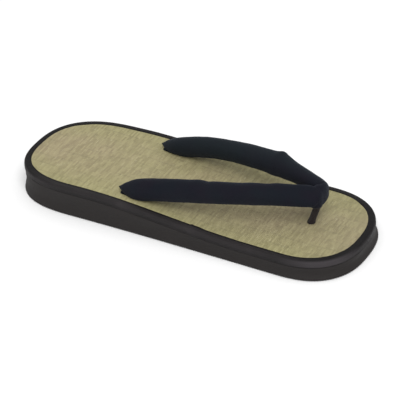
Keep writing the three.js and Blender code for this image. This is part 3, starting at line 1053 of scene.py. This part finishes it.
def build_nose(material):
    """Padded knot where both arms meet over the post, creased where the far arm folds in."""
    nose = post_line()[1]
    levels, sides = 34, 56
    rings = []
    for level in range(1, levels):
        tilt = math.pi * level / levels - math.pi / 2
        power = NOSE_TOP if tilt > 0 else NOSE_BOTTOM
        girth = squared(math.cos(tilt), power)
        for j in range(sides):
            turn = 2 * math.pi * j / sides
            point = Vector((
                girth * squared(math.cos(turn), NOSE_PLAN) * NOSE_LENGTH / 2,
                girth * squared(math.sin(turn), NOSE_PLAN) * NOSE_WIDTH / 2,
                squared(math.sin(tilt), power) * NOSE_THICKNESS / 2))
            soft = noise.noise(point * 0.16 + Vector((3, 1, 8))) * 0.5
            crease = -0.5 * math.exp(-((point.y + 2.5) / 1.3) ** 2) * max(0, math.cos(tilt))
            rings.append(nose + point * (1 + (soft + crease) / 8))
    low = nose + Vector((0, 0, -NOSE_THICKNESS / 2))
    high = nose + Vector((0, 0, NOSE_THICKNESS / 2))
    faces = band_faces(levels - 1, sides)
    tip = len(rings)
    faces += [[tip, (j + 1) % sides, j] for j in range(sides)]
    start = (levels - 2) * sides
    faces += [[tip + 1, start + j, start + (j + 1) % sides] for j in range(sides)]
    return make_piece("nose", [list(p) for p in [*rings, low, high]], faces, material)


def build_straps(material, thread):
    """Both arms, joined over the post, with a flat tab below each rear end."""
    foot, nose, axis = post_line()
    straps, near_seam = build_arm("velvet_straps", -1, material)
    far, far_seam = build_arm("far", 1, material)
    combine(straps, far, "UNION")
    combine(straps, build_nose(material), "UNION")
    for side in (-1, 1):
        bottom = float(mat_at(ROOT_X)) - TAB_DEPTH
        tab = tab_bar("tab", side, bottom, bottom + TAB_DEPTH + TAB_RISE, 0, material)
        combine(straps, tab, "UNION")
    underside = (nose - foot).length - NOSE_THICKNESS / 2
    radius = POST_DIAMETER / 2 + GAP
    start, end = foot + axis * (underside / 2), foot + axis * (underside + POST_SEAT + GAP)
    seat = round_bar("seat", start, end, [(0, radius), (1, radius)], 24, material)
    combine(straps, seat, "DIFFERENCE")
    sharpen(straps, 50)
    lines, edges = [], []
    for seam in (near_seam, far_seam):
        start = len(lines)
        lines += seam.tolist()
        edges += [(start + i, start + i + 1) for i in range(len(seam) - 1)]
    mesh = bpy.data.meshes.new("seam_line")
    mesh.from_pydata((np.array(lines) * MM).tolist(), edges, [])
    base = add_object("seam_line", mesh)
    stitches = grow(
        "strap_stitches", base, stitch_tree(), Pitch=STITCH_PITCH * MM,
        Length=STITCH_LENGTH * MM, Thickness=STITCH_THICKNESS * MM, Finish=thread)
    return straps, stitches


def build_post(material):
    """Cord from the sole to the nose, thicker where it leaves the mat and below the nose."""
    foot, nose, axis = post_line()
    underside = (nose - foot).length - NOSE_THICKNESS / 2
    start, end = foot - axis * POST_DEPTH, foot + axis * (underside + POST_SEAT)
    whole = (end - start).length
    radius = POST_DIAMETER / 2
    steps = 64
    radii = []
    for step in range(steps + 1):
        at = whole * step / steps - POST_DEPTH
        swell = 0.3 * math.exp(-((at - 0.6) / 1.6) ** 2)
        swell += 0.62 * math.exp(-((at - underside + 0.5) / 2.2) ** 2)
        size = radius - 0.12 + (swell if at > -0.2 else 0)

        def grooved(angle, size=size, at=at):
            away = (angle - 4.2 - at * 0.02 + math.pi) % (2 * math.pi) - math.pi
            return size - 0.22 * math.exp(-(away / 0.16) ** 2)

        radii.append((step / steps, grooved))
    sides = 40

    def cord_uv(mesh, corners):
        level, step = corners // sides, corners % sides
        v = whole * level / steps * MM
        return np.column_stack([step / sides, v])

    return round_bar("cord_post", start, end, radii, sides, material, ("cord", cord_uv))


# Camera, taken from the photograph: azimuth and elevation of the line from the sandal to it
VIEW_TARGET = (4, -3, 10)
VIEW_DISTANCE = 1320.25
VIEW_AZIMUTH = 31.75
VIEW_ELEVATION = 34.62
VIEW_ROLL = -4.33
VIEW_LENS = 172.9

# Floor and lights, in metres and watts
FLOOR_REACH = 6
FLOOR_DROP = 0.0002
SURROUND = 0.72
KEY_PLACE = (0.75, -0.9, 1.65)
KEY_SIZE = 1.0
KEY_POWER = 23
TOP_PLACE = (-0.1, 0.1, 1.9)
TOP_SIZE = 1.2
TOP_POWER = 3


def place_camera():
    azimuth, elevation, roll = (math.radians(v) for v in (VIEW_AZIMUTH, VIEW_ELEVATION, VIEW_ROLL))
    back = Vector((
        math.sin(azimuth) * math.cos(elevation), -math.cos(azimuth) * math.cos(elevation),
        math.sin(elevation)))
    right = Vector((math.cos(azimuth), math.sin(azimuth), 0))
    up = back.cross(right)
    rolled_right = right * math.cos(roll) + up * math.sin(roll)
    rolled_up = up * math.cos(roll) - right * math.sin(roll)
    data = bpy.data.cameras.new("camera")
    data.lens, data.sensor_width = VIEW_LENS, 36
    data.clip_start, data.clip_end = 0.05, 50
    camera = add_object("camera", data)
    turned = Matrix((rolled_right, rolled_up, back)).transposed().to_4x4()
    camera.matrix_world = Matrix.Translation((Vector(VIEW_TARGET) + back * VIEW_DISTANCE) * MM) @ turned
    bpy.context.scene.camera = camera


def area_light(name, place, size, power):
    """Soft white light that faces the sandal."""
    data = bpy.data.lights.new(name, "AREA")
    data.shape, data.size, data.energy = "SQUARE", size, power
    light = add_object(name, data)
    light.location = place
    light.rotation_euler = (-Vector(place)).to_track_quat("-Z", "Y").to_euler()


def light_studio():
    """Plain pale floor, a bright even surround, a soft key light in front and a weak one above."""
    finish = Finish("floor", Base_Color=(0.93, 0.93, 0.93), Roughness=0.9, Specular_IOR_Level=0.1)
    mesh = bpy.data.meshes.new("floor")
    reach, low = FLOOR_REACH, -FLOOR_DROP
    corners = [(-reach, -reach, low), (reach, -reach, low), (reach, reach, low), (-reach, reach, low)]
    mesh.from_pydata(corners, [], [(0, 1, 2, 3)])
    mesh.materials.append(finish.material)
    add_object("floor", mesh)
    world = bpy.data.worlds.new("surround")
    world.use_nodes = True
    background = world.node_tree.nodes["Background"]
    background.inputs[0].default_value = (1, 1, 1, 1)
    background.inputs[1].default_value = SURROUND
    bpy.context.scene.world = world
    area_light("key", KEY_PLACE, KEY_SIZE, KEY_POWER)
    area_light("top", TOP_PLACE, TOP_SIZE, TOP_POWER)
    bpy.context.scene.view_settings.view_transform = "Standard"


def main():
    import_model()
    place_camera()
    light_studio()
    foam, rush, tape = foam_finish(), rush_finish(), tape_finish()
    velvet, cord, thread = velvet_finish(), cord_finish(), thread_finish()
    settle(build_sole(foam), "sole_foam", "sole")
    settle(build_tread(foam), "sole_foam")
    settle(build_insole(rush), "rush_mat", "insole")
    binding = settle(build_binding(tape), "binding_tape", "binding")
    straps, stitches = build_straps(velvet, thread)
    settle(straps, "strap_velvet", "straps")
    settle(stitches, "strap_velvet")
    settle(build_post(cord), "post_cord", "toe_post")
    Outline(720).round * MM


main()
